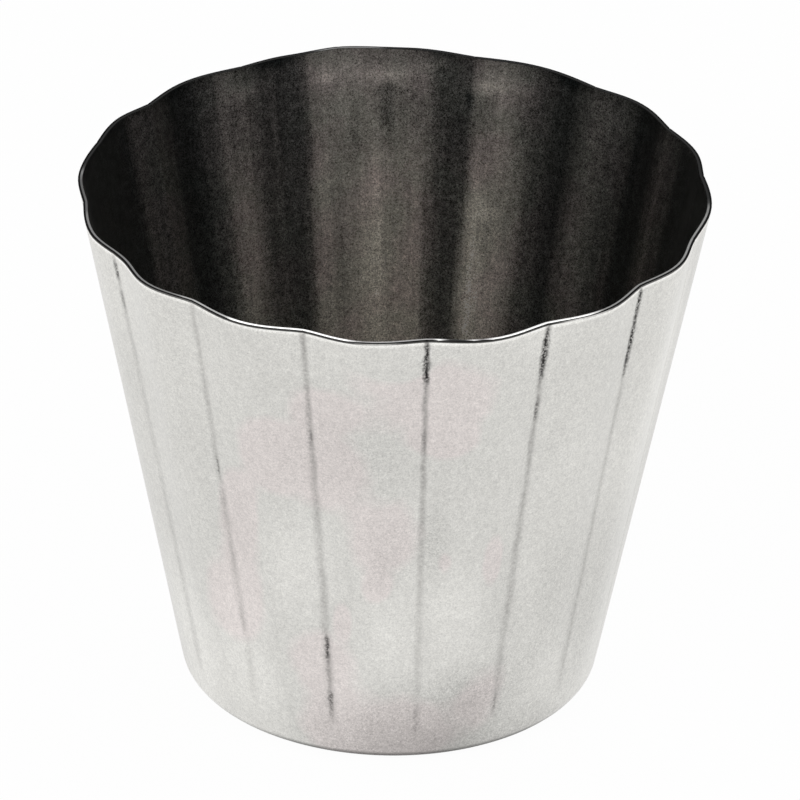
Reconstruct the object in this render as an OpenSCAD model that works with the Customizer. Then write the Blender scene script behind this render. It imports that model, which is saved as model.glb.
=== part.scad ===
// Small fluted baking mould, pressed in one piece from thin metal sheet.
// Origin at the centre of the flat base, +Z up along the axis of the cup.

/* [Cup] */
// Diameter over the crests of the flutes at the rim
rim_d = 70; // [55:1:90]
// Diameter of the base, where the lines of wall and base would meet
base_d = 45.8; // [30:0.1:50]
// Height from the resting plane to the rim
height = 58.8; // [35:0.1:80]
// Thickness of the metal sheet
sheet = 0.5; // [0.3:0.1:1]
// Outside radius of the pressed corner between base and wall
corner_r = 2; // [1.2:0.1:4]

/* [Flutes] */
// Number of flutes around the wall
flutes = 16; // [8:1:20]
// Depth of a flute at the rim, from crest to valley
flute_depth = 0.7; // [0.3:0.1:1.6]
// Height above the resting plane at which the flutes begin
flute_start = 4; // [4:0.5:15]
// Shape of the valleys: 2 is a plain cosine wave, and a lower value folds them tighter
valley_power = 1.5; // [1.1:0.1:2]

/* [Smoothness] */
// Facets across one flute
facets_per_flute = 10; // [6:2:12]
// Facets along the fluted part of the wall
wall_steps = 4; // [3:1:8]
// Facets round the pressed corner
corner_steps = 4; // [3:1:5]

/* [Hidden] */
// Lean of the wall away from the axis
wall_angle = atan2((rim_d - base_d) / 2, height);
// Thickness of the leaning wall, measured level
level_t = sheet / cos(wall_angle);
// The corner's inside radius, which a thick sheet would close up
inner_corner_r = max(corner_r - sheet, sheet / 2);
tin_grey = [0.80, 0.79, 0.77];

// Points [radius, height] up one side of the sheet: the corner arc, tangent to a floor at
// floor_z, and then the leaning wall from the start of the flutes up to the rim. foot_r is the
// wall line's radius at height 0.
function side_profile(foot_r, floor_z, fillet_r) =
    let (
        centre_z = floor_z + fillet_r,
        centre_r = foot_r + centre_z * tan(wall_angle) - fillet_r / cos(wall_angle)
    )
    concat(
        [
            for (i = [0 : corner_steps])
                let (a = -90 + (90 - wall_angle) * i / corner_steps)
                [centre_r + fillet_r * cos(a), centre_z + fillet_r * sin(a)]
        ],
        [
            for (i = [0 : wall_steps])
                let (z = flute_start + (height - flute_start) * i / wall_steps)
                [foot_r + z * tan(wall_angle), z]
        ]
    );

function reversed(list) = [for (i = [len(list) - 1 : -1 : 0]) list[i]];

// Depth of the flutes at a height: none below flute_start, all of it at the rim
function depth_at(z) = flute_depth * max(0, (z - flute_start) / (height - flute_start));

// Share of the flute's depth at an angle: 0 on a crest, 1 in a valley
function valley_at(angle) = 1 - pow(abs(cos(flutes * angle / 2)), valley_power);

// The closed sheet lofted round the axis: up the outside, over the cut rim and down the inside,
// with the flutes pressed through both sides, and a flat disc closing each end of the profile
module fluted_sheet(outside, inside) {
    profile = concat(outside, reversed(inside));
    sides = flutes * facets_per_flute;
    rings = len(profile);
    base_centre = rings * sides;
    floor_centre = base_centre + 1;
    ring_points = [
        for (ring = profile, i = [0 : sides - 1])
            let (
                angle = 360 * i / sides,
                r = ring[0] - depth_at(ring[1]) * valley_at(angle)
            )
            [r * cos(angle), r * sin(angle), ring[1]]
    ];
    band_faces = [
        for (j = [0 : rings - 2], i = [0 : sides - 1])
            let (
                a = j * sides + i,
                b = j * sides + (i + 1) % sides
            )
            each [[a, a + sides, b + sides], [a, b + sides, b]]
    ];
    base_faces = [for (i = [0 : sides - 1]) [base_centre, i, (i + 1) % sides]];
    floor_faces = [
        for (i = [0 : sides - 1])
            [floor_centre, (rings - 1) * sides + (i + 1) % sides, (rings - 1) * sides + i]
    ];
    polyhedron(
        concat(ring_points, [[0, 0, outside[0][1]], [0, 0, inside[0][1]]]),
        concat(band_faces, base_faces, floor_faces),
        convexity = 4
    );
}

// The whole mould: one sheet with a flat base, a rounded corner and a rim cut level
module mould() {
    color(tin_grey)
    fluted_sheet(
        side_profile(base_d / 2, 0, corner_r),
        side_profile(base_d / 2 - level_t, sheet, inner_corner_r)
    );
}

mould();
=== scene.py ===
import bmesh
import bpy
from math import atan, atan2, cos, floor, pi, radians, sin, tan
from mathutils import Matrix, Vector


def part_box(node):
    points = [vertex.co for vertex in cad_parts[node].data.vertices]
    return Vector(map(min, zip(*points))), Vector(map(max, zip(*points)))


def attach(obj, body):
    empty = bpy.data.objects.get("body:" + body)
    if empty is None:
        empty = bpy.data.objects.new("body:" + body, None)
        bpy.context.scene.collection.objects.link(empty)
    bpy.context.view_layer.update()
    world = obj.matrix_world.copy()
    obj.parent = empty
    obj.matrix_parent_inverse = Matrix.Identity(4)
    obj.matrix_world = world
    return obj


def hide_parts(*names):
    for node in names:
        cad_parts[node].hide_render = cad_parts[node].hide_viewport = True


# A small fluted baking mould of tinned sheet, pale outside and darkened inside, on a pale floor.

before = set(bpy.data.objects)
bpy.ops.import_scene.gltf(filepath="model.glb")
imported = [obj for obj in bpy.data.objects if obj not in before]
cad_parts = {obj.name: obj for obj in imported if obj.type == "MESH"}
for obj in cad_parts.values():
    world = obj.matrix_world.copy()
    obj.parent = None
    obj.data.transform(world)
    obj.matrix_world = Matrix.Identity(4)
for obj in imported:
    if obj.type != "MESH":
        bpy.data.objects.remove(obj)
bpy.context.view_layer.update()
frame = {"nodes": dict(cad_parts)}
print("frame loaded:", ", ".join(frame["nodes"]))

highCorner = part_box("mould")[1]
rimRadius = highCorner.x  # over the crests of the flutes
rimHeight = highCorner.z


# Camera: a long lens, a little above the mould and a few degrees round to the right

camera = {
    "azimuth": 5.05,  # this angle and the next two in degrees
    "elevation": 29.13,
    "roll": 0.91,  # how far the mould's top leans to the right
    "distance": 1.05,
    "lens": 426.4,  # focal length and sensor width in millimetres
    "sensor": 36,
    "aimRight": 0.00078,  # from the mould's middle to the middle of the picture
    "aimUp": 0.00296,
}


def makeCamera(spec):
    azimuth, elevation = radians(spec["azimuth"]), radians(spec["elevation"])
    back = Vector((sin(azimuth) * cos(elevation), -cos(azimuth) * cos(elevation), sin(elevation)))
    right = Vector((cos(azimuth), sin(azimuth), 0))
    up = back.cross(right)
    middle = Vector((0, 0, rimHeight / 2))
    aim = middle + right * spec["aimRight"] + up * spec["aimUp"]
    place = middle + back * spec["distance"]
    data = bpy.data.cameras.new("camera")
    data.lens, data.sensor_width = spec["lens"], spec["sensor"]
    data.clip_start, data.clip_end = 0.01, 100
    eye = bpy.data.objects.new("camera", data)
    bpy.context.collection.objects.link(eye)
    turn = (aim - place).to_track_quat("-Z", "Y").to_matrix().to_4x4()
    eye.matrix_world = Matrix.Translation(place) @ turn @ Matrix.Rotation(radians(spec["roll"]), 4, "Z")
    bpy.context.scene.camera = eye


makeCamera(camera)
print("camera placed")


# Node helpers

def cleared(tree):
    tree.nodes.clear()
    return tree


def addNode(tree, kind, label="", **settings):
    node = tree.nodes.new(kind)
    node.label = label
    for name, value in settings.items():
        setattr(node, name, value)
    return node


def plug(tree, source, target):
    # source is a socket or a plain value
    if isinstance(source, bpy.types.NodeSocket):
        tree.links.new(source, target)
    else:
        target.default_value = source


def mathNode(tree, operation, first, second=None, third=None):
    node = addNode(tree, "ShaderNodeMath", operation=operation)
    for value, target in zip((first, second, third), node.inputs):
        if value is not None:
            plug(tree, value, target)
    return node.outputs[0]


def product(tree, first, *others):
    for other in others:
        first = mathNode(tree, "MULTIPLY", first, other)
    return first


def mapRange(tree, value, fromLow, fromHigh, toLow=0.0, toHigh=1.0, smooth=False):
    kind = "SMOOTHSTEP" if smooth else "LINEAR"
    node = addNode(tree, "ShaderNodeMapRange", interpolation_type=kind, clamp=True)
    for source, target in zip((value, fromLow, fromHigh, toLow, toHigh), node.inputs):
        plug(tree, source, target)
    return node.outputs["Result"]


def swing(tree, noise, reach, change, middle=1.0):
    # spreads a noise, which lies within a reach of a half, to a change either way of the middle
    return mapRange(tree, noise, 0.5 - reach, 0.5 + reach, middle - change, middle + change)


def mixColour(tree, share, first, second):
    node = addNode(tree, "ShaderNodeMix", data_type="RGBA")
    plug(tree, share, node.inputs["Factor"])
    plug(tree, first, node.inputs[6])
    plug(tree, second, node.inputs[7])
    return node.outputs[2]


def noiseNode(tree, vector, scale, detail=2.0, roughness=0.5):
    node = addNode(tree, "ShaderNodeTexNoise")
    plug(tree, vector, node.inputs["Vector"])
    plug(tree, scale, node.inputs["Scale"])
    node.inputs["Detail"].default_value = detail
    node.inputs["Roughness"].default_value = roughness
    return node.outputs["Fac"]


def newGroup(name, inputs, outputs):
    # inputs: name and default, where a tuple is a vector; outputs: names and socket kinds
    tree = bpy.data.node_groups.new(name, "ShaderNodeTree")
    for label, default in inputs.items():
        kind = "NodeSocketVector" if isinstance(default, tuple) else "NodeSocketFloat"
        socket = tree.interface.new_socket(label, in_out="INPUT", socket_type=kind)
        socket.default_value = default
    for label, kind in outputs.items():
        tree.interface.new_socket(label, in_out="OUTPUT", socket_type="NodeSocket" + kind)
    return tree, tree.nodes.new("NodeGroupInput").outputs, tree.nodes.new("NodeGroupOutput").inputs


def useGroup(tree, group, **values):
    node = addNode(tree, "ShaderNodeGroup", group.name)
    node.node_tree = group
    for name, value in values.items():
        plug(tree, value, node.inputs[name])
    return node.outputs


# Shared effects

def roundTheWall(tree, point, across, along):
    # turns a place on the cup into one that keeps its direction from the axis at any radius
    parts = addNode(tree, "ShaderNodeSeparateXYZ")
    plug(tree, point, parts.inputs[0])
    flat = addNode(tree, "ShaderNodeCombineXYZ")
    plug(tree, parts.outputs["X"], flat.inputs["X"])
    plug(tree, parts.outputs["Y"], flat.inputs["Y"])
    unit = addNode(tree, "ShaderNodeVectorMath", operation="NORMALIZE")
    plug(tree, flat.outputs[0], unit.inputs[0])
    split = addNode(tree, "ShaderNodeSeparateXYZ")
    plug(tree, unit.outputs[0], split.inputs[0])
    joined = addNode(tree, "ShaderNodeCombineXYZ")
    plug(tree, product(tree, split.outputs["X"], across), joined.inputs["X"])
    plug(tree, product(tree, split.outputs["Y"], across), joined.inputs["Y"])
    plug(tree, product(tree, parts.outputs["Z"], along), joined.inputs["Z"])
    return joined.outputs[0]


sheetGrainMix = {
    "coarsePart": 0.45,  # share of the coarser noise in the grain
    "coarseScale": 0.45,  # its scale beside the finer noise's
    "darkest": 0.1,
}


def makeSheetGrain(spec):
    # fine satin grain of rolled sheet: a tone around 1 and a height
    tree, given, made = newGroup(
        "sheetGrain",
        {"Point": (0.0, 0.0, 0.0), "Scale": 6000.0, "Depth": 0.1},
        {"Tone": "Float", "Height": "Float"},
    )
    fine = noiseNode(tree, given["Point"], given["Scale"], 2.0, 0.6)
    slower = product(tree, given["Scale"], spec["coarseScale"])
    coarse = noiseNode(tree, given["Point"], slower, 3.0, 0.6)
    finePart = product(tree, fine, 1 - spec["coarsePart"])
    blended = mathNode(tree, "MULTIPLY_ADD", coarse, spec["coarsePart"], finePart)
    centred = mathNode(tree, "SUBTRACT", blended, 0.5)
    tone = mathNode(tree, "MULTIPLY_ADD", centred, given["Depth"], 1.0)
    plug(tree, mathNode(tree, "MAXIMUM", tone, spec["darkest"]), made["Tone"])
    plug(tree, blended, made["Height"])
    return tree


def makeDrawMarks():
    # soft streaks that run up the wall, where the sheet was drawn over the punch
    tree, given, made = newGroup(
        "drawMarks",
        {"Point": (0.0, 0.0, 0.0), "Across": 40.0, "Along": 30.0},
        {"Streak": "Float"},
    )
    point = roundTheWall(tree, given["Point"], given["Across"], given["Along"])
    plug(tree, noiseNode(tree, point, 1.0, 4.0, 0.6), made["Streak"])
    return tree


cloudMix = {
    "warmthShift": (0.31, 0.17, 0.53),  # so that the two noises don't fall together
    "warmthScale": 1.6,  # scale of the tints beside that of the clouds
}


def makeHandlingClouds(spec):
    # large faint patches in two tints, as satin metal shows after handling
    tree, given, made = newGroup(
        "handlingClouds",
        {"Point": (0.0, 0.0, 0.0), "Scale": 60.0},
        {"Cloud": "Float", "Warmth": "Float"},
    )
    plug(tree, noiseNode(tree, given["Point"], given["Scale"], 2.0, 0.45), made["Cloud"])
    shifted = addNode(tree, "ShaderNodeVectorMath", operation="ADD")
    plug(tree, given["Point"], shifted.inputs[0])
    shifted.inputs[1].default_value = spec["warmthShift"]
    finer = product(tree, given["Scale"], spec["warmthScale"])
    plug(tree, noiseNode(tree, shifted.outputs[0], finer, 3.0, 0.5), made["Warmth"])
    return tree


def makeFoldGap():
    # how far a place on the wall lies from the bottom of the nearest valley, along the wall
    tree, given, made = newGroup(
        "foldGap",
        {"Point": (0.0, 0.0, 0.0), "Flutes": 16.0, "Drift": 0.0, "Wander": 0.0001, "Ripples": 500.0},
        {"Gap": "Float"},
    )
    parts = addNode(tree, "ShaderNodeSeparateXYZ")
    plug(tree, given["Point"], parts.inputs[0])
    x, y = parts.outputs["X"], parts.outputs["Y"]
    angle = mathNode(tree, "SUBTRACT", mathNode(tree, "ARCTAN2", y, x), given["Drift"])
    perRadian = mathNode(tree, "DIVIDE", given["Flutes"], 2 * pi)
    phase = product(tree, angle, perRadian)
    fromValley = mathNode(tree, "SUBTRACT", mathNode(tree, "FRACT", phase), 0.5)
    square = mathNode(tree, "ADD", product(tree, x, x), product(tree, y, y))
    radius = mathNode(tree, "SQRT", square)
    arc = mathNode(tree, "DIVIDE", product(tree, fromValley, radius), perRadian)
    sway = mathNode(tree, "SUBTRACT", noiseNode(tree, given["Point"], given["Ripples"], 3.0, 0.6), 0.5)
    arc = mathNode(tree, "MULTIPLY_ADD", sway, given["Wander"], arc)
    plug(tree, mathNode(tree, "ABSOLUTE", arc), made["Gap"])
    return tree


sheetGrain = makeSheetGrain(sheetGrainMix)
drawMarks = makeDrawMarks()
handlingClouds = makeHandlingClouds(cloudMix)
foldGap = makeFoldGap()
print("shared effects made")


# Materials

def startMaterial(name):
    material = bpy.data.materials.new(name)
    material.use_nodes = True
    tree = cleared(material.node_tree)
    shader = addNode(tree, "ShaderNodeBsdfPrincipled", name)
    output = addNode(tree, "ShaderNodeOutputMaterial")
    tree.links.new(shader.outputs[0], output.inputs["Surface"])
    point = addNode(tree, "ShaderNodeTexCoord").outputs["Object"]
    return material, tree, shader.inputs, point


def bumpNormal(tree, height, strength, distance):
    bump = addNode(tree, "ShaderNodeBump")
    bump.inputs["Strength"].default_value = strength
    bump.inputs["Distance"].default_value = distance
    plug(tree, height, bump.inputs["Height"])
    return bump.outputs["Normal"]


def tinted(tree, colour, tone):
    # a colour times a value that changes over the surface
    node = addNode(tree, "ShaderNodeVectorMath", operation="SCALE")
    plug(tree, colour, node.inputs[0])
    plug(tree, tone, node.inputs["Scale"])
    return node.outputs[0]


def readMark(tree, name):
    return addNode(tree, "ShaderNodeAttribute", name, attribute_name=name).outputs["Fac"]


def heightOf(tree, point):
    parts = addNode(tree, "ShaderNodeSeparateXYZ")
    plug(tree, point, parts.inputs[0])
    return parts.outputs["Z"]


paleTin = {
    "tone": (0.698, 0.690, 0.660, 1),
    "rosyTone": (0.730, 0.683, 0.664, 1),
    # painted shade colour of the lines along the creases
    "foldShadeTone": (0.30, 0.29, 0.28, 1),
    # painted shade colour of the dark marks in the creases and of the lines at rim and foot
    "darkShadeTone": (0.016, 0.015, 0.015, 1),
    "roughness": 0.36,
    "roughnessSwing": 0.05,
    "bump": 0.25,
    "bumpHeight": 0.00002,
    "grain": (2.0, 1.25),  # on the darker patches and on the lighter ones
    "grainRange": (0.8, 1.0),  # painted light and shade levels between which it changes
    "grainScale": 8200.0,
    "cloudScale": 55.0,
    "cloudSwing": 0.025,
    "streakAcross": 34.0,
    "streakAlong": 28.0,
    "streakSwing": 0.015,
    "streakBump": 1.5,  # height of the streaks beside the grain's
    "mottleScale": 1300.0,
    "mottleSwing": 0.049,
    "blushRagged": 1.5,  # how ragged the edges of the rosy patches are
    "blushRange": (0.3, 0.6),  # blushes between which the rosy tone sets in
    "foldWander": 0.0005,  # how far a grey line sways
    "foldRipples": 350.0,
    "unevenScale": 260.0,  # scale of its stronger and weaker stretches
    "unevenSwing": 0.2,
    "unevenMiddle": 0.9,
    "gritScale": 2800.0,
    "gritSwing": 0.375,
    "gritMiddle": 0.975,
    "darkShadeWander": 0.0007,
    "darkShadeRipples": 1400.0,
    "darkShadeBreaks": 3600.0,  # scale of the gaps in the dark marks
    "darkShadeRange": (0.4, 0.5),  # values of that noise between which a gap closes
    "darkShadeLeft": 0.15,  # share of the painted dark shade that is left in a gap
    # Each band fades out between two distances from the rim or the foot
    "edgeShade": (0.000203, 0.00029),  # the painted shade line under the cut rim
    "edgeDark": 0.97,
    "edgeLight": (0.0004, 0.0008),  # the painted lighter strip under that line
    "edgeGlow": 1.3,
    "rimLight": (0.0, 0.008),  # the painted, faintly lighter band under the rim
    "rimGlow": 1.03,
    "footShade": (0.0007, 0.0014),  # the painted shadow line at the foot
    "footDark": 0.58,
}


def paleTone(tree, point, below, paintedLightShade, grainTone, cloud, streak, spec):
    # the light and dark of the bare sheet: its grain and random tone, with painted light and shade from the
    # wall patches and the bands under the rim
    cloudTone = swing(tree, cloud, 0.15, spec["cloudSwing"])
    streakTone = swing(tree, streak, 0.2, spec["streakSwing"])
    mottle = swing(tree, noiseNode(tree, point, spec["mottleScale"]), 0.2, spec["mottleSwing"])
    tone = product(tree, cloudTone, streakTone, grainTone, mottle, paintedLightShade)
    # painted light: the lighter strip and band under the rim
    strip = mapRange(tree, below, *spec["edgeLight"], spec["edgeGlow"], 1.0, smooth=True)
    band = mapRange(tree, below, *spec["rimLight"], spec["rimGlow"], 1.0, smooth=True)
    return product(tree, tone, product(tree, strip, band))


def foldShadeLines(tree, point, drift, spec):
    # the share of the painted crease shade line in each valley
    gap = useGroup(
        tree, foldGap, Point=point, Drift=drift, Wander=spec["foldWander"], Ripples=spec["foldRipples"]
    )["Gap"]
    line = mapRange(tree, gap, 0.0, readMark(tree, "lineWidth"), 1.0, 0.0, smooth=True)
    uneven = noiseNode(tree, point, spec["unevenScale"], 3.0, 0.6)
    uneven = swing(tree, uneven, 0.15, spec["unevenSwing"], spec["unevenMiddle"])
    grit = noiseNode(tree, point, spec["gritScale"], 2.0, 0.6)
    grit = swing(tree, grit, 0.15, spec["gritSwing"], spec["gritMiddle"])
    return product(tree, line, uneven, grit, readMark(tree, "valleyShade"))


def paintedDarkShade(tree, point, drift, height, below, spec):
    # the share of painted dark shade in the valleys, under the rim and along the foot
    gap = useGroup(
        tree, foldGap, Point=point, Drift=drift, Wander=spec["darkShadeWander"], Ripples=spec["darkShadeRipples"]
    )["Gap"]
    breaks = noiseNode(tree, point, spec["darkShadeBreaks"], 2.0, 0.6)
    broken = mapRange(tree, breaks, *spec["darkShadeRange"], spec["darkShadeLeft"], 1.0)
    line = mapRange(tree, gap, 0.0, readMark(tree, "darkShadeWidth"), 1.0, 0.0, smooth=True)
    darkShade = product(tree, line, broken, readMark(tree, "valleyDarkShade"))
    # painted shade line under the cut rim
    edge = mapRange(tree, below, *spec["edgeShade"], spec["edgeDark"], 0.0, smooth=True)
    edge = product(tree, edge, readMark(tree, "rimShade"))
    # painted contact shadow along the foot
    foot = mapRange(tree, height, *spec["footShade"], spec["footDark"], 0.0, smooth=True)
    foot = product(tree, foot, readMark(tree, "footShadow"))
    return mathNode(tree, "MAXIMUM", mathNode(tree, "MAXIMUM", darkShade, edge), foot)


def makePaleTin(spec):
    material, tree, shader, point = startMaterial("paleTin")
    paintedLightShade = readMark(tree, "paintedLightShade")
    strength = mapRange(tree, paintedLightShade, *spec["grainRange"], *spec["grain"])
    grain = useGroup(tree, sheetGrain, Point=point, Scale=spec["grainScale"], Depth=strength)
    clouds = useGroup(tree, handlingClouds, Point=point, Scale=spec["cloudScale"])
    streak = useGroup(
        tree, drawMarks, Point=point, Across=spec["streakAcross"], Along=spec["streakAlong"]
    )["Streak"]
    drift = readMark(tree, "drift")
    height = heightOf(tree, point)
    below = mathNode(tree, "SUBTRACT", rimHeight, height)
    warmth = mathNode(tree, "SUBTRACT", clouds["Warmth"], 0.5)
    blush = mathNode(tree, "MULTIPLY_ADD", warmth, spec["blushRagged"], readMark(tree, "blush"))
    colour = mixColour(tree, mapRange(tree, blush, *spec["blushRange"]), spec["tone"], spec["rosyTone"])
    tone = paleTone(tree, point, below, paintedLightShade, grain["Tone"], clouds["Cloud"], streak, spec)
    colour = tinted(tree, colour, tone)
    # painted shade along the creases
    colour = mixColour(tree, foldShadeLines(tree, point, drift, spec), colour, spec["foldShadeTone"])
    # painted shade in the creases, under the rim and at the foot
    dark = paintedDarkShade(tree, point, drift, height, below, spec)
    plug(tree, mixColour(tree, dark, colour, spec["darkShadeTone"]), shader["Base Color"])
    plug(tree, mathNode(tree, "SUBTRACT", 1.0, dark), shader["Metallic"])
    shader["Specular IOR Level"].default_value = 0.0
    rough = swing(tree, grain["Height"], 0.2, spec["roughnessSwing"], spec["roughness"])
    plug(tree, rough, shader["Roughness"])
    relief = mathNode(tree, "MULTIPLY_ADD", streak, spec["streakBump"], grain["Height"])
    plug(tree, bumpNormal(tree, relief, spec["bump"], spec["bumpHeight"]), shader["Normal"])
    return material


darkTin = {
    "tone": (0.456, 0.423, 0.391, 1),
    "rosyTone": (0.485, 0.408, 0.396, 1),
    "oliveTone": (0.434, 0.433, 0.376, 1),
    "tonePart": 0.5,  # share of the plain tone among the tints
    # dark colour of the stripes: stain and painted dark reflection
    "stainAndReflectionTone": (0.0186, 0.0222, 0.0228, 1),
    "stainAndReflectionRange": (0.5, 0.95),  # over it, grain and mottle go from their first value to their second
    "roughness": 0.33,
    "roughnessSwing": 0.06,
    "bump": 0.3,
    "bumpHeight": 0.00002,
    "grain": (5.5, 9.5),
    "grainScale": 10500.0,
    "mottle": (0.9, 1.8),
    "mottleScale": 1200.0,
    "cloudScale": 90.0,
    "cloudSwing": 0.06,
    "warmthRange": (0.4, 0.6),  # warmths between which olive turns rosy
    "broadAcross": 9.0,
    "broadAlong": 8.0,
    "broadSwing": 0.06,
    "narrowAcross": 45.0,
    "narrowAlong": 22.0,
    "narrowSwing": 0.16,
    "paintedLightDepth": 0.032,
    "depthPaintedLight": 2.2,  # painted light: how much lighter the inside is painted at that depth than at the rim, against the shade deeper in the cup
    "lipDepth": 0.0018,
    "lipShade": 0.6,  # painted shade: tone right under the rim, as a share of the tone at that depth
}


def makeDarkTin(spec):
    material, tree, shader, point = startMaterial("darkTin")
    stainAndReflection = readMark(tree, "stainAndReflection")
    depth = mapRange(tree, stainAndReflection, *spec["stainAndReflectionRange"], *spec["grain"])
    grain = useGroup(tree, sheetGrain, Point=point, Scale=spec["grainScale"], Depth=depth)
    clouds = useGroup(tree, handlingClouds, Point=point, Scale=spec["cloudScale"])
    broad = useGroup(
        tree, drawMarks, Point=point, Across=spec["broadAcross"], Along=spec["broadAlong"]
    )["Streak"]
    narrow = useGroup(
        tree, drawMarks, Point=point, Across=spec["narrowAcross"], Along=spec["narrowAlong"]
    )["Streak"]
    warmth = mapRange(tree, clouds["Warmth"], *spec["warmthRange"])
    colour = mixColour(tree, warmth, spec["oliveTone"], spec["rosyTone"])
    colour = mixColour(tree, spec["tonePart"], colour, spec["tone"])
    # stain and painted reflection stripes
    colour = mixColour(tree, stainAndReflection, colour, spec["stainAndReflectionTone"])
    blotches = mathNode(tree, "SUBTRACT", noiseNode(tree, point, spec["mottleScale"], 3.0), 0.5)
    blotchiness = mapRange(tree, stainAndReflection, *spec["stainAndReflectionRange"], *spec["mottle"])
    mottle = mathNode(tree, "MULTIPLY_ADD", blotches, blotchiness, 1.0)
    below = mathNode(tree, "SUBTRACT", rimHeight, heightOf(tree, point))
    tone = product(
        tree,
        swing(tree, broad, 0.15, spec["broadSwing"]),
        mottle,
        swing(tree, narrow, 0.2, spec["narrowSwing"]),
        swing(tree, clouds["Cloud"], 0.15, spec["cloudSwing"]),
        grain["Tone"],
        # painted light deeper in the cup and painted shade right under the rim
        mapRange(tree, below, 0.0, spec["paintedLightDepth"], 1.0, spec["depthPaintedLight"]),
        mapRange(tree, below, 0.0, spec["lipDepth"], spec["lipShade"], 1.0),
    )
    plug(tree, tinted(tree, colour, tone), shader["Base Color"])
    shader["Metallic"].default_value = 1.0
    rough = swing(tree, grain["Height"], 0.2, spec["roughnessSwing"], spec["roughness"])
    plug(tree, rough, shader["Roughness"])
    plug(tree, bumpNormal(tree, grain["Height"], spec["bump"], spec["bumpHeight"]), shader["Normal"])
    return material


cutEdge = {
    # the first tone is the cut edge's painted highlight, the second its painted dark reflection
    "tone": (0.97, 0.965, 0.95, 1),
    "shadedEdgeTone": (0.012, 0.012, 0.012, 1),
    "roughness": 0.3,
    "roughnessSwing": 0.06,
    "bump": 0.3,
    "bumpHeight": 0.00002,
    "grain": 0.5,
    "grainScale": 6000.0,
    "outerPart": 0.24,  # share of the sheet's thickness painted dark as shade, from the outside
    "shadedOuterPart": 0.48,  # the same where no highlight is painted
    "highlightRange": (0.3, 0.9),  # highlight strengths between which the dark share changes
    "blend": 0.12,  # share of the thickness over which dark turns bright
    "innerBlend": 0.88,  # from here to the inner skin the edge is painted darker again
}


def makeCutEdge(spec):
    material, tree, shader, point = startMaterial("cutEdge")
    grain = useGroup(tree, sheetGrain, Point=point, Scale=spec["grainScale"], Depth=spec["grain"])
    across = readMark(tree, "across")
    highlight = readMark(tree, "rimHighlight")
    outer = mapRange(tree, highlight, *spec["highlightRange"], spec["shadedOuterPart"], spec["outerPart"])
    above = mathNode(tree, "DIVIDE", mathNode(tree, "SUBTRACT", across, outer), spec["blend"])
    rise = mapRange(tree, above, -0.5, 0.5, smooth=True)
    fall = mapRange(tree, across, spec["innerBlend"], 1.0, 1.0, 0.0, smooth=True)
    # painted highlight along the cut edge
    bright = product(tree, rise, fall, highlight)
    colour = mixColour(tree, bright, spec["shadedEdgeTone"], spec["tone"])
    plug(tree, tinted(tree, colour, grain["Tone"]), shader["Base Color"])
    plug(tree, bright, shader["Metallic"])
    shader["Specular IOR Level"].default_value = 0.0
    rough = swing(tree, grain["Height"], 0.2, spec["roughnessSwing"], spec["roughness"])
    plug(tree, rough, shader["Roughness"])
    plug(tree, bumpNormal(tree, grain["Height"], spec["bump"], spec["bumpHeight"]), shader["Normal"])
    return material


paleTinSkin = makePaleTin(paleTin)
darkTinSkin = makeDarkTin(darkTin)
cutEdgeSkin = makeCutEdge(cutEdge)
print("materials made")


# The mould: a profile of the bent sheet, spun round and pressed into flutes

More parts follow.
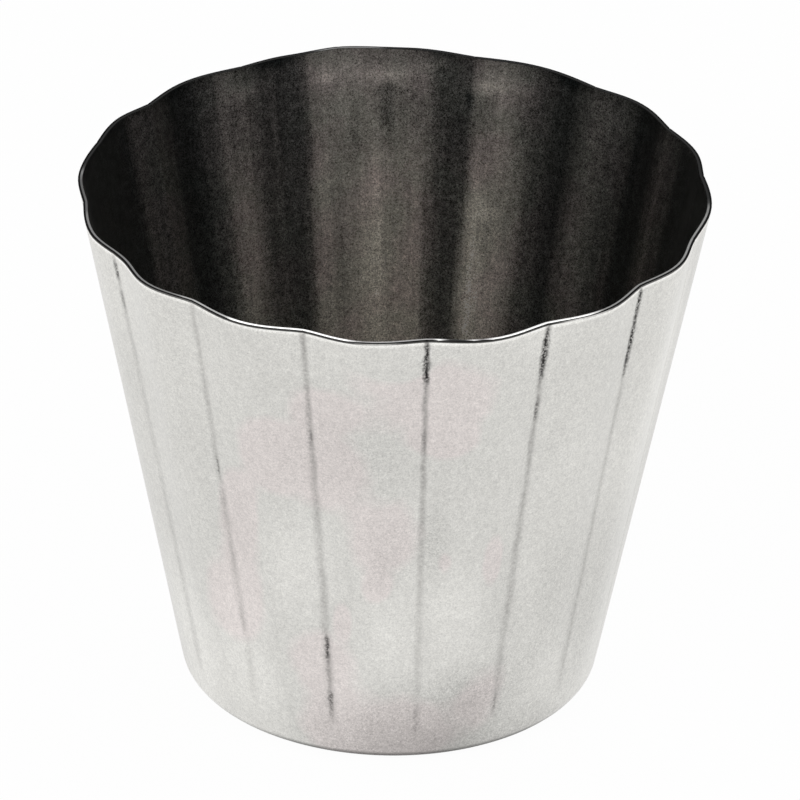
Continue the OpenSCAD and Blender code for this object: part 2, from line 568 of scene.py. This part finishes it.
mould = {
    "sheet": 0.0005,
    "baseRadius": 0.0229,  # where the lines of wall and base meet
    "cornerRadius": 0.002,
    "cornerSegments": 8,
    "innerSegments": 6,
    "rimBevel": 0.00005,
    "rimSegments": 2,
    "wallCuts": 78,
    "discCuts": 5,
    "sharpAngle": 35,  # degrees from which an edge of the mesh is left sharp
    "flutes": 16,
    "fluteDepth": 0.0007,
    "fluteStart": 0.004,
    "valleyPower": 1.5,
    "softPower": 2,
    "softValleys": {9, 15},  # valleys with the soft power, which are rounder than the others
    "stepsPerFlute": 24,
    "gathering": 0.75,  # how far the mesh's columns are drawn towards the valleys
    "foldDepth": 0.00005,  # sharp fold line in each valley, outside only
    "foldWidth": 0.00025,  # its half width
    "foldRise": 1 / 6,  # share of the fluted height over which the fold reaches its depth
    # How far single crests and valleys lie further in than the even ones, in millimetres
    "crestsIn": {
        0: 0.45, 1: 0.25, 3: 0.3, 5: 0.05, 6: -0.1, 7: -0.15, 9: 0.2, 10: 0.2, 11: 0.25, 12: 0.1,
        13: -0.15, 14: 0.1, 15: 0.25,
    },
    "valleysIn": {
        0: 0.15, 2: 0.15, 3: 0.15, 4: -1.3, 5: -0.2, 7: -0.5, 9: 0.45, 10: 0.5, 11: 0.65, 12: 0.2,
        13: 0.3, 14: 0.55, 15: 0.3,
    },
    # How far round valleys lie from their even places, in degrees, at the rim and at the foot
    "plainDrift": (-0.4, 0.6),
    "valleyDrift": {
        0: (2.1, 0.6), 1: (-0.6, 0.6), 2: (-1.7, 0.6), 3: (1.7, 0.6), 4: (4.8, 0.6),
        5: (2.0, 0.6), 6: (3.0, 0.6), 7: (-1.4, 0.6), 9: (0.5, 0.9),
        10: (-1.25, 1.3), 11: (-0.55, 1.7), 12: (-0.25, 1.15), 13: (0.25, -0.1), 14: (0.7, 0.5),
    },
    "foldShift": {9: -2.8},  # degrees from the valley's bottom to its fold line, at the rim
    # Painted dark shade marks in the valleys: the valley's number, where each mark begins and ends as a
    # share of the height, its strength and its half width in millimetres
    "valleyDarkShade": [
        (9, 0.948, 0.974, 0.8, 0.6),
        (9, 0.88, 0.912, 0.42, 0.5),
        (10, 0.612, 0.645, 0.5, 0.24),
        (10, 0.26, 0.3, 0.15, 0.45),
        (11, 0.75, 0.767, 0.5, 0.3),
        (11, 0.242, 0.284, 0.82, 0.42),
        (11, 0.15, 0.24, 0.22, 0.35),
        (11, 0.118, 0.152, 0.65, 0.42),
        (11, 0.095, 0.118, 0.3, 0.4),
        (12, 0.955, 0.985, 0.95, 0.42),
        (12, 0.93, 0.955, 0.85, 0.75),
        (12, 0.908, 0.93, 1.0, 0.5),
        (12, 0.745, 0.79, 0.22, 0.32),
        (12, 0.07, 0.12, 0.25, 0.35),
        (13, 0.9, 0.965, 0.95, 0.66),
        (13, 0.88, 0.9, 0.85, 0.45),
        (13, 0.965, 0.985, 0.85, 0.4),
        (13, 0.785, 0.82, 0.6, 0.34),
        (13, 0.1, 0.13, 0.35, 0.35),
        (14, 0.955, 0.985, 1.0, 0.62),
        (14, 0.905, 0.955, 0.85, 0.62),
        (14, 0.83, 0.91, 1.0, 0.66),
        (14, 0.805, 0.83, 0.7, 0.5),
    ],
    "darkShadeFade": 0.012,  # share of the height over which a mark fades at its ends
    "plainDarkShadeWidth": 0.2,  # half width set where there is no mark
    # How strong the painted shade line of a valley is at the rim, half way down and at the foot, and how
    # much wider than the others
    "plainShades": (0.6, 0.5, 0.4, 1),
    "valleyShades": {
        8: (0.12, 0.12, 0.12, 1), 9: (0.4, 0.22, 0.4, 1.6), 10: (0.36, 0.42, 0.12, 1.3),
        11: (0.6, 0.48, 0.36, 1.2), 12: (1.0, 0.36, 0.22, 1), 13: (0.75, 0.45, 0.4, 1.1),
        14: (0.42, 0.38, 0.34, 1.2), 15: (0.12, 0.12, 0.12, 1),
    },
    "lineWidths": (0.48, 0.8),  # half widths of the grey lines at rim and foot, in millimetres
    "lineFoot": 0.06,  # share of the height up to which no grey line shows
    "lineFade": 0.06,  # share of the height over which it then grows to its strength
    # Broad patches of painted light and shade on the outside: angle, height as a share, half width in
    # degrees, half height as a share, and change of tone
    "wallLightShadePatches": [
        (212, 0.12, 17, 0.33, 0.16), (214, 0.95, 16, 0.25, 0.06), (236, 0.28, 13, 0.2, 0.09),
        (340, 0.78, 13, 0.5, 0.1), (254, 0.44, 12, 0.18, 0.1), (274, 0.31, 10, 0.14, 0.09),
        (290, 0.38, 10, 0.14, 0.08), (284, 0.0, 46, 0.25, -0.38), (296, 0.16, 13, 0.11, -0.13),
        (277, 0.53, 13, 0.1, -0.07), (236, 0.52, 12, 0.1, -0.03), (318, 0.33, 14, 0.26, -0.08),
        (334, 0.24, 14, 0.32, -0.11), (303, 0.33, 8, 0.22, -0.08), (238, 0.85, 16, 0.2, 0.04),
        (316, 0.68, 12, 0.3, 0.03), (303, 0.97, 6, 0.06, 0.05), (228, 0.12, 19, 0.16, 0.1),
        (266, 0.17, 9, 0.09, 0.09), (309, 0.18, 10, 0.11, -0.08), (270, 0.72, 26, 0.17, -0.06),
        (222, 0.6, 13, 0.35, 0.03), (206, 0.72, 8, 0.16, -0.03),
        (318, 0.0, 22, 0.06, -0.14), (348, 0.72, 5, 0.5, 0.12), (203, 0.88, 6, 0.25, 0.05),
        (285, 0.53, 5, 0.17, -0.1), (273.5, 0.46, 5, 0.1, -0.08), (309, 0.72, 5, 0.1, -0.045),
        (307, 0.42, 5, 0.12, 0.06), (236, 0.58, 4, 0.1, 0.04), (240, 0.14, 10, 0.12, 0.1),
        (322, 0.05, 12, 0.07, -0.07), (292, 0.04, 14, 0.06, -0.07), (264, 0.08, 7, 0.08, 0.06),
        (328, 0.6, 4, 0.15, 0.05),
    ],
    # Faintly rosy patches outside, in the same way, with a strength at the end
    "blushPatches": [
        (281, 0.86, 20, 0.17, 1.0), (259, 0.7, 17, 0.17, 1.0), (275, 0.53, 14, 0.14, 1.0),
        (240, 0.5, 10, 0.17, 0.9), (236, 0.32, 13, 0.16, 1.0), (259, 0.22, 16, 0.13, 0.8),
        (274, 0.08, 34, 0.16, 1.1), (300, 0.14, 12, 0.12, 0.6), (20, 0.3, 14, 0.2, 0.9),
        (62, 0.6, 18, 0.22, 1.0), (108, 0.3, 20, 0.22, 1.0), (152, 0.72, 16, 0.18, 1.0),
        (248, 0.7, 10, 0.15, 1.0), (262, 0.83, 10, 0.07, 0.9), (241, 0.57, 8, 0.11, 0.9),
        (272, 0.42, 6, 0.06, 0.9), (298, 0.47, 4, 0.1, 1.0), (287, 0.48, 3, 0.05, 0.9),
        (264, 0.34, 4, 0.07, 0.9), (285, 0.77, 10, 0.06, 0.9), (276, 0.95, 9, 0.06, -1.0),
    ],
    # Stripes of stain and painted reflection on the inside, as angle, half width in degrees and strength: a
    # later stripe lies over an earlier one, and each fades over some degrees at its sides
    "stainAndReflection": {
        "plain": 0.45,
        "fade": 2.2,
        "stripes": [
            (33, 34, 0.835), (14, 14, 0.965), (31, 3.5, 0.85), (32, 1.2, 0.74), (39.6, 4, 0.968),
            (53.5, 3.2, 0.78), (61, 3, 0.93), (65.2, 2.3, 0.862), (68.2, 0.9, 0.82), (70, 1.4, 0.71),
            (74.3, 1, 0.4), (90.5, 3, 0.52), (83.9, 4.3, 0.87), (87.9, 1.2, 0.8), (122.5, 10, 0.85),
            (117.2, 3.2, 0.915), (120.2, 1, 0.86), (127.8, 4.2, 0.73), (130.6, 0.9, 0.68),
            (158, 26, 0.875), (135.5, 2.5, 0.885), (140.6, 3.8, 0.955), (150.5, 6, 0.835),
            (148.2, 1.2, 0.79), (153.5, 1.3, 0.8), (169, 13, 0.965),
            (198, 9, 0.9), (221, 6, 0.86), (243, 6, 0.9), (266, 5, 0.83), (289, 6, 0.9),
            (311, 5, 0.86), (334, 8, 0.93),
        ],
    },
    "floorStainAndReflection": 0.6,  # the stripes fade to this towards the floor
    "floorFade": (0.04, 0.24),  # between these shares of the height
    # Patches inside: angle, millimetres below the rim, half width in degrees, half height in millimetres,
    # and change of stain and painted reflection
    "innerPatches": [
        (77.5, 6.8, 3.4, 4.5, 0.2), (78.6, 25, 3.8, 17, -0.36), (70.2, 21, 4, 17, -0.15),
        (97, 7, 3.8, 5.2, 0.36), (92, 6, 2.2, 6, 0.15), (99.8, 20, 3.8, 18, -0.2),
        (103, 8.5, 2.2, 6, 0.14), (106.5, 25, 2.2, 13, 0.12), (110.5, 16, 2.6, 12, -0.08),
        (110, 5, 2.5, 7, 0.08), (112.8, 8, 1.8, 10, 0.12), (127.2, 20, 4.5, 13, -0.22),
        (130, 6, 4, 7, 0.08), (84, 25, 3, 16, 0.02), (90.5, 21, 2.5, 16, -0.13),
        (55, 18, 5, 16, -0.05), (58, 22, 2, 12, -0.06), (83, 9, 3, 5, 0.05),
        (75.5, 3, 5, 1.1, -0.5), (78.5, 3.3, 4, 1.1, -0.3), (97.5, 3.1, 7, 1, -0.36),
        (109, 3, 4, 1.2, -0.42), (126, 2.9, 7, 1.1, -0.15), (70, 3, 3, 1.1, -0.2),
        (76, 17.6, 7, 0.8, -0.3), (99, 15.5, 5, 3, -0.07),
        (121, 0, 8, 1.3, 0.16), (60, 0, 8, 1.3, 0.12), (89, 0, 6, 1.2, 0.2),
        (22, 0, 9, 1, -0.12), (143, 0, 7, 1.2, 0.05),
        (97, 1.2, 11, 1.8, 0.13), (97, 4.4, 8, 1.6, 0.1), (98, 10.7, 10, 1.6, 0.11),
        (80.4, 4.5, 1.6, 2.4, 0.12), (77.5, 10.8, 4, 1.6, 0.12), (77, 17, 3.6, 3.4, -0.18),
        (80.8, 29, 1.6, 9, -0.15), (77.3, 26, 2.2, 8, -0.13), (128.5, 28, 3, 6, -0.13),
        (71.2, 18.5, 1.3, 3.5, 0.14), (69, 26, 1.3, 5, -0.07), (86.8, 0.8, 2.4, 1.5, -0.16),
        (70, 8, 1.3, 5, 0.12), (55.5, 16, 1.6, 6, -0.1), (104, 11.5, 3.5, 3.5, 0.12),
        (129, 15.5, 1.6, 2.5, -0.12), (90.5, 8.5, 2, 5, 0.1), (112.5, 11.5, 1.4, 4, 0.08),
    ],
    # Painted contact shadow along the foot, in the same way as the stripes
    "footShadow": {"plain": 0.12, "fade": 30, "stripes": [(281, 47, 1.0)]},
    # Strength of the painted shade line under the rim
    "rimShade": {
        "plain": 0.95,
        "fade": 3,
        "stripes": [
            (230, 9, 0.84), (272, 3, 0.45), (288, 2.5, 0.97), (312, 4.5, 0.3), (330, 12, 0.85),
        ],
    },
    # Stretches of the cut edge with a painted highlight
    "edgeHighlights": {
        "plain": 0.02,
        "fade": 2,
        "stripes": [
            (270, 92, 0.22), (188, 7, 0.12), (246, 14, 0.45), (256, 12, 1.0), (276, 6.5, 0.42),
            (283.4, 0.8, 1.0), (286.4, 2.0, 0.05), (289, 0.5, 0.7), (290.2, 0.6, 0.2),
            (304.2, 12.5, 0.9), (336, 22, 0.28), (104, 6, 0.2),
        ],
    },
}
leanPerHeight = (rimRadius - mould["baseRadius"]) / rimHeight
wallLean = atan(leanPerHeight)
levelThickness = mould["sheet"] / cos(wallLean)


def sheetProfile(bm, spec):
    # base centre, outer corner, rim outside and inside, inner corner, floor centre
    foot = spec["baseRadius"]
    innerFoot = foot - levelThickness + spec["sheet"] * leanPerHeight
    corners = [
        (0, 0),
        (foot, 0),
        (rimRadius, rimHeight),
        (rimRadius - levelThickness, rimHeight),
        (innerFoot, spec["sheet"]),
        (0, spec["sheet"]),
    ]
    verts = [bm.verts.new((radius, 0, height)) for radius, height in corners]
    for pair in zip(verts, verts[1:]):
        bm.edges.new(pair)
    perTangent = tan((pi / 2 + wallLean) / 2)
    inner = max(spec["cornerRadius"] - spec["sheet"], spec["sheet"] / 2)
    rounds = [
        (verts[1], spec["cornerRadius"] / perTangent, spec["cornerSegments"]),
        (verts[4], inner / perTangent, spec["innerSegments"]),
        (verts[2], spec["rimBevel"], spec["rimSegments"]),
        (verts[3], spec["rimBevel"], spec["rimSegments"]),
    ]
    for vert, offset, segments in rounds:
        bmesh.ops.bevel(
            bm, geom=[vert], offset=offset, segments=segments, profile=0.5,
            affect="VERTICES", material=-1,
        )
    walls = [e for e in bm.edges if abs(e.verts[0].co.z - e.verts[1].co.z) > rimHeight / 2]
    bmesh.ops.subdivide_edges(bm, edges=walls, cuts=spec["wallCuts"])
    discs = [e for e in bm.edges if abs(e.verts[0].co.x - e.verts[1].co.x) > foot / 2]
    bmesh.ops.subdivide_edges(bm, edges=discs, cuts=spec["discCuts"])


def spinRound(bm, spec):
    steps = spec["flutes"] * spec["stepsPerFlute"]
    bmesh.ops.spin(
        bm, geom=bm.verts[:] + bm.edges[:], cent=(0, 0, 0), axis=(0, 0, 1), dvec=(0, 0, 0),
        angle=2 * pi, steps=steps, use_merge=True, use_normal_flip=False, use_duplicate=False,
    )
    bmesh.ops.remove_doubles(bm, verts=bm.verts, dist=1e-7)
    bmesh.ops.recalc_face_normals(bm, faces=bm.faces)


def fluteShare(height, spec):
    return max(0.0, (height - spec["fluteStart"]) / (rimHeight - spec["fluteStart"]))


def fluteInset(angle, spec):
    # how far the wall lies inside the crests' circle at the rim
    phase = angle * spec["flutes"] / (2 * pi)
    crest, valley = round(phase) % spec["flutes"], floor(phase) % spec["flutes"]
    power = spec["softPower"] if valley in spec["softValleys"] else spec["valleyPower"]
    share = 1 - abs(cos(spec["flutes"] * angle / 2)) ** power
    crestIn = spec["crestsIn"].get(crest, 0) / 1000
    valleyIn = spec["fluteDepth"] + spec["valleysIn"].get(valley, 0) / 1000
    return crestIn * (1 - share) + valleyIn * share


def shiftAt(valley, height, spec):
    return radians(spec["foldShift"].get(valley, 0)) * height / rimHeight


def foldInset(angle, radius, height, spec):
    # the narrow fold at the very bottom of a valley
    phase = angle * spec["flutes"] / (2 * pi)
    valley = floor(phase) % spec["flutes"]
    fromValley = (phase - floor(phase) - 0.5) * 2 * pi / spec["flutes"]
    fromValley -= shiftAt(valley, height, spec)
    near = max(0.0, 1 - abs(fromValley) * radius / spec["foldWidth"])
    return spec["foldDepth"] * near * near * (3 - 2 * near)


def driftAt(angle, height, spec):
    # in radians, blended between the two nearest valleys
    phase = (angle * spec["flutes"] / (2 * pi) - 0.5) % spec["flutes"]
    first = floor(phase)
    drift = 0.0
    for number, weight in ((first, first + 1 - phase), (first + 1, phase - first)):
        atRim, atFoot = spec["valleyDrift"].get(number % spec["flutes"], spec["plainDrift"])
        drift += weight * (atFoot + (atRim - atFoot) * height / rimHeight)
    return radians(drift)


def acrossSheet(vert, spec):
    # 0 on the outer skin and 1 on the inner one: level through the wall, upright through the base
    reach = vert.co.xy.length
    line = rimRadius - (rimHeight - vert.co.z) * leanPerHeight
    if vert.co.z > spec["sheet"] * 3:
        return (line - reach) / levelThickness
    return vert.co.z / spec["sheet"]


def pressFlutes(bm, spec):
    across = bm.verts.layers.float.new("across")
    driftMark = bm.verts.layers.float.new("drift")
    for vert in bm.verts:
        vert[across] = acrossSheet(vert, spec)
        radius = vert.co.xy.length
        if radius < 1e-6:
            continue
        angle = atan2(vert.co.y, vert.co.x)
        angle += spec["gathering"] / spec["flutes"] * sin(spec["flutes"] * angle)
        share = fluteShare(vert.co.z, spec)
        pressed = radius - share * fluteInset(angle, spec)
        if vert[across] < 0.5:
            grown = min(1.0, share / spec["foldRise"])
            pressed -= grown * foldInset(angle, radius, vert.co.z, spec)
        drift = driftAt(angle, vert.co.z, spec)
        valley = floor(angle * spec["flutes"] / (2 * pi)) % spec["flutes"]
        vert[driftMark] = drift + shiftAt(valley, vert.co.z, spec)
        angle += drift
        vert.co.xy = (pressed * cos(angle), pressed * sin(angle))
    bm.normal_update()


def limited(value):
    return min(1.0, max(0.0, value))


def stripeValue(band, angle):
    value = band["plain"]
    for middle, halfWidth, strength in band["stripes"]:
        away = abs((angle - middle + 180) % 360 - 180)
        weight = limited((halfWidth - away) / min(band["fade"], halfWidth) + 0.5)
        value += (strength - value) * weight
    return value


def patchValue(patches, angle, level):
    # patches: angle, level, half width, half height and change
    value = 0.0
    for middle, height, halfAngle, halfHeight, change in patches:
        aside = ((angle - middle + 180) % 360 - 180) / halfAngle
        above = (level - height) / halfHeight
        value += change * limited(1 - aside * aside - above * above) ** 2
    return value


def darkShadeAt(valley, height, spec):
    # strength and half width in metres
    darkShade, width = 0.0, spec["plainDarkShadeWidth"]
    for number, low, high, strength, halfWidth in spec["valleyDarkShade"]:
        within = limited(min(height - low, high - height) / spec["darkShadeFade"] + 1)
        if number == valley and within * strength > darkShade:
            darkShade, width = within * strength, halfWidth
    return darkShade, width / 1000


def shadeAt(valley, height, spec):
    # strength and half width in metres
    atRim, halfWay, atFoot, wider = spec["valleyShades"].get(valley, spec["plainShades"])
    rimWidth, footWidth = spec["lineWidths"]
    if height > 0.5:
        shade = halfWay + (atRim - halfWay) * (height * 2 - 1)
    else:
        shade = atFoot + (halfWay - atFoot) * height * 2
    width = (footWidth + (rimWidth - footWidth) * height) * wider
    return shade * limited((height - spec["lineFoot"]) / spec["lineFade"]), width / 1000


def marksAt(place, drift, spec):
    # strengths and widths that the materials read, for one point of the mesh
    height = place.z / rimHeight
    angle = atan2(place.y, place.x) * 180 / pi % 360
    even = angle - drift * 180 / pi
    valley = floor(even * spec["flutes"] / 360) % spec["flutes"]
    shade, lineWidth = shadeAt(valley, height, spec)
    darkShade, darkShadeWidth = darkShadeAt(valley, height, spec)
    fadeLow, fadeHigh = spec["floorFade"]
    stainAndReflection = stripeValue(spec["stainAndReflection"], angle)
    stainAndReflection += patchValue(spec["innerPatches"], angle, (rimHeight - place.z) * 1000)
    stainAndReflection += (spec["floorStainAndReflection"] - stainAndReflection) * limited((fadeHigh - height) / (fadeHigh - fadeLow))
    return {
        "valleyShade": shade,
        "lineWidth": lineWidth,
        "valleyDarkShade": darkShade,
        "darkShadeWidth": darkShadeWidth,
        "paintedLightShade": 1 + patchValue(spec["wallLightShadePatches"], angle, height),
        "blush": patchValue(spec["blushPatches"], angle, height),
        "footShadow": stripeValue(spec["footShadow"], angle),
        "rimShade": stripeValue(spec["rimShade"], angle),
        "stainAndReflection": limited(stainAndReflection),
        "rimHighlight": stripeValue(spec["edgeHighlights"], angle),
    }


def markSkin(mesh, spec):
    drifts = mesh.attributes["drift"].data
    marks = [marksAt(vert.co, drifts[vert.index].value, spec) for vert in mesh.vertices]
    for name in marks[0]:
        layer = mesh.attributes.new(name, "FLOAT", "POINT")
        layer.data.foreach_set("value", [mark[name] for mark in marks])


def skinOf(face, spec):
    # slots: 0 pale outside, 1 dark inside, 2 cut edge and its bevels
    middle, normal = face.calc_center_median(), face.normal
    if middle.z > rimHeight - spec["rimBevel"] * 1.01:
        return 2
    radial = middle.xy.normalized().dot(normal.xy) if middle.xy.length > 1e-6 else 0
    outward = radial * cos(wallLean) - normal.z * sin(wallLean)
    return 0 if outward > 0 else 1


def makeMould(spec):
    bm = bmesh.new()
    sheetProfile(bm, spec)
    spinRound(bm, spec)
    pressFlutes(bm, spec)
    for face in bm.faces:
        face.smooth = True
        face.material_index = skinOf(face, spec)
    for edge in bm.edges:
        # sharp where two skins meet, and where the mesh bends sharply
        oneSkin = len({face.material_index for face in edge.link_faces}) == 1
        edge.smooth = oneSkin and edge.calc_face_angle(0) < radians(spec["sharpAngle"])
    mesh = bpy.data.meshes.new("flutedMould")
    bm.to_mesh(mesh)
    bm.free()
    for skin in (paleTinSkin, darkTinSkin, cutEdgeSkin):
        mesh.materials.append(skin)
    markSkin(mesh, spec)
    piece = bpy.data.objects.new("flutedMould", mesh)
    bpy.context.collection.objects.link(piece)
    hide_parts("mould")
    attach(piece, "root")
    return piece


flutedMould = makeMould(mould)
print("mould made:", len(flutedMould.data.polygons), "faces")


# Studio: a pale floor that shows white, a soft white surround and three soft lamps

studio = {
    "floorSize": 12.0,
    "floorTone": (0.78, 0.78, 0.78, 1),
    "floorGlow": 0.97,  # share of the floor that shows as plain white
    "fill": 0.55,  # strength of the surround as a light
    "lamps": [
        # place, size and watts
        ((-0.9, -1.1, 1.3), 1.0, 9.0),
        ((1.2, -0.5, 1.0), 0.8, 5.0),
        ((0.1, 1.0, 1.5), 1.0, 6.0),
    ],
}


def showsPlain(tree):
    # 1 for rays from the camera and for those that metal or glass sends on
    path = addNode(tree, "ShaderNodeLightPath").outputs
    both = mathNode(tree, "MAXIMUM", path["Is Camera Ray"], path["Is Glossy Ray"])
    return mathNode(tree, "MAXIMUM", both, path["Is Transmission Ray"])


def makeFloor(spec):
    bm = bmesh.new()
    bmesh.ops.create_grid(bm, x_segments=1, y_segments=1, size=spec["floorSize"] / 2)
    mesh = bpy.data.meshes.new("floor")
    bm.to_mesh(mesh)
    bm.free()
    ground = bpy.data.objects.new("floor", mesh)
    bpy.context.collection.objects.link(ground)
    material = bpy.data.materials.new("paleFloor")
    material.use_nodes = True
    tree = cleared(material.node_tree)
    matt = addNode(tree, "ShaderNodeBsdfDiffuse")
    matt.inputs["Color"].default_value = spec["floorTone"]
    glow = addNode(tree, "ShaderNodeEmission")
    glow.inputs["Strength"].default_value = 1.0
    mix = addNode(tree, "ShaderNodeMixShader")
    plug(tree, mathNode(tree, "MULTIPLY", showsPlain(tree), spec["floorGlow"]), mix.inputs[0])
    tree.links.new(matt.outputs[0], mix.inputs[1])
    tree.links.new(glow.outputs[0], mix.inputs[2])
    output = addNode(tree, "ShaderNodeOutputMaterial")
    tree.links.new(mix.outputs[0], output.inputs["Surface"])
    mesh.materials.append(material)


def makeSurround(spec):
    world = bpy.data.worlds.new("surround")
    bpy.context.scene.world = world
    world.use_nodes = True
    tree = cleared(world.node_tree)
    background = addNode(tree, "ShaderNodeBackground")
    background.inputs["Color"].default_value = (1, 1, 1, 1)
    plug(tree, mapRange(tree, showsPlain(tree), 0.0, 1.0, spec["fill"], 1.0), background.inputs["Strength"])
    output = addNode(tree, "ShaderNodeOutputWorld")
    tree.links.new(background.outputs[0], output.inputs["Surface"])


def makeLamps(spec):
    for index, (place, size, watts) in enumerate(spec["lamps"]):
        data = bpy.data.lights.new("lamp%d" % index, "AREA")
        data.shape, data.size, data.energy = "SQUARE", size, watts
        lamp = bpy.data.objects.new(data.name, data)
        bpy.context.collection.objects.link(lamp)
        turn = (-Vector(place)).to_track_quat("-Z", "Y").to_matrix().to_4x4()
        lamp.matrix_world = Matrix.Translation(place) @ turn


makeFloor(studio)
makeSurround(studio)
makeLamps(studio)
bpy.context.scene.view_settings.view_transform = "Standard"
print("studio lit")
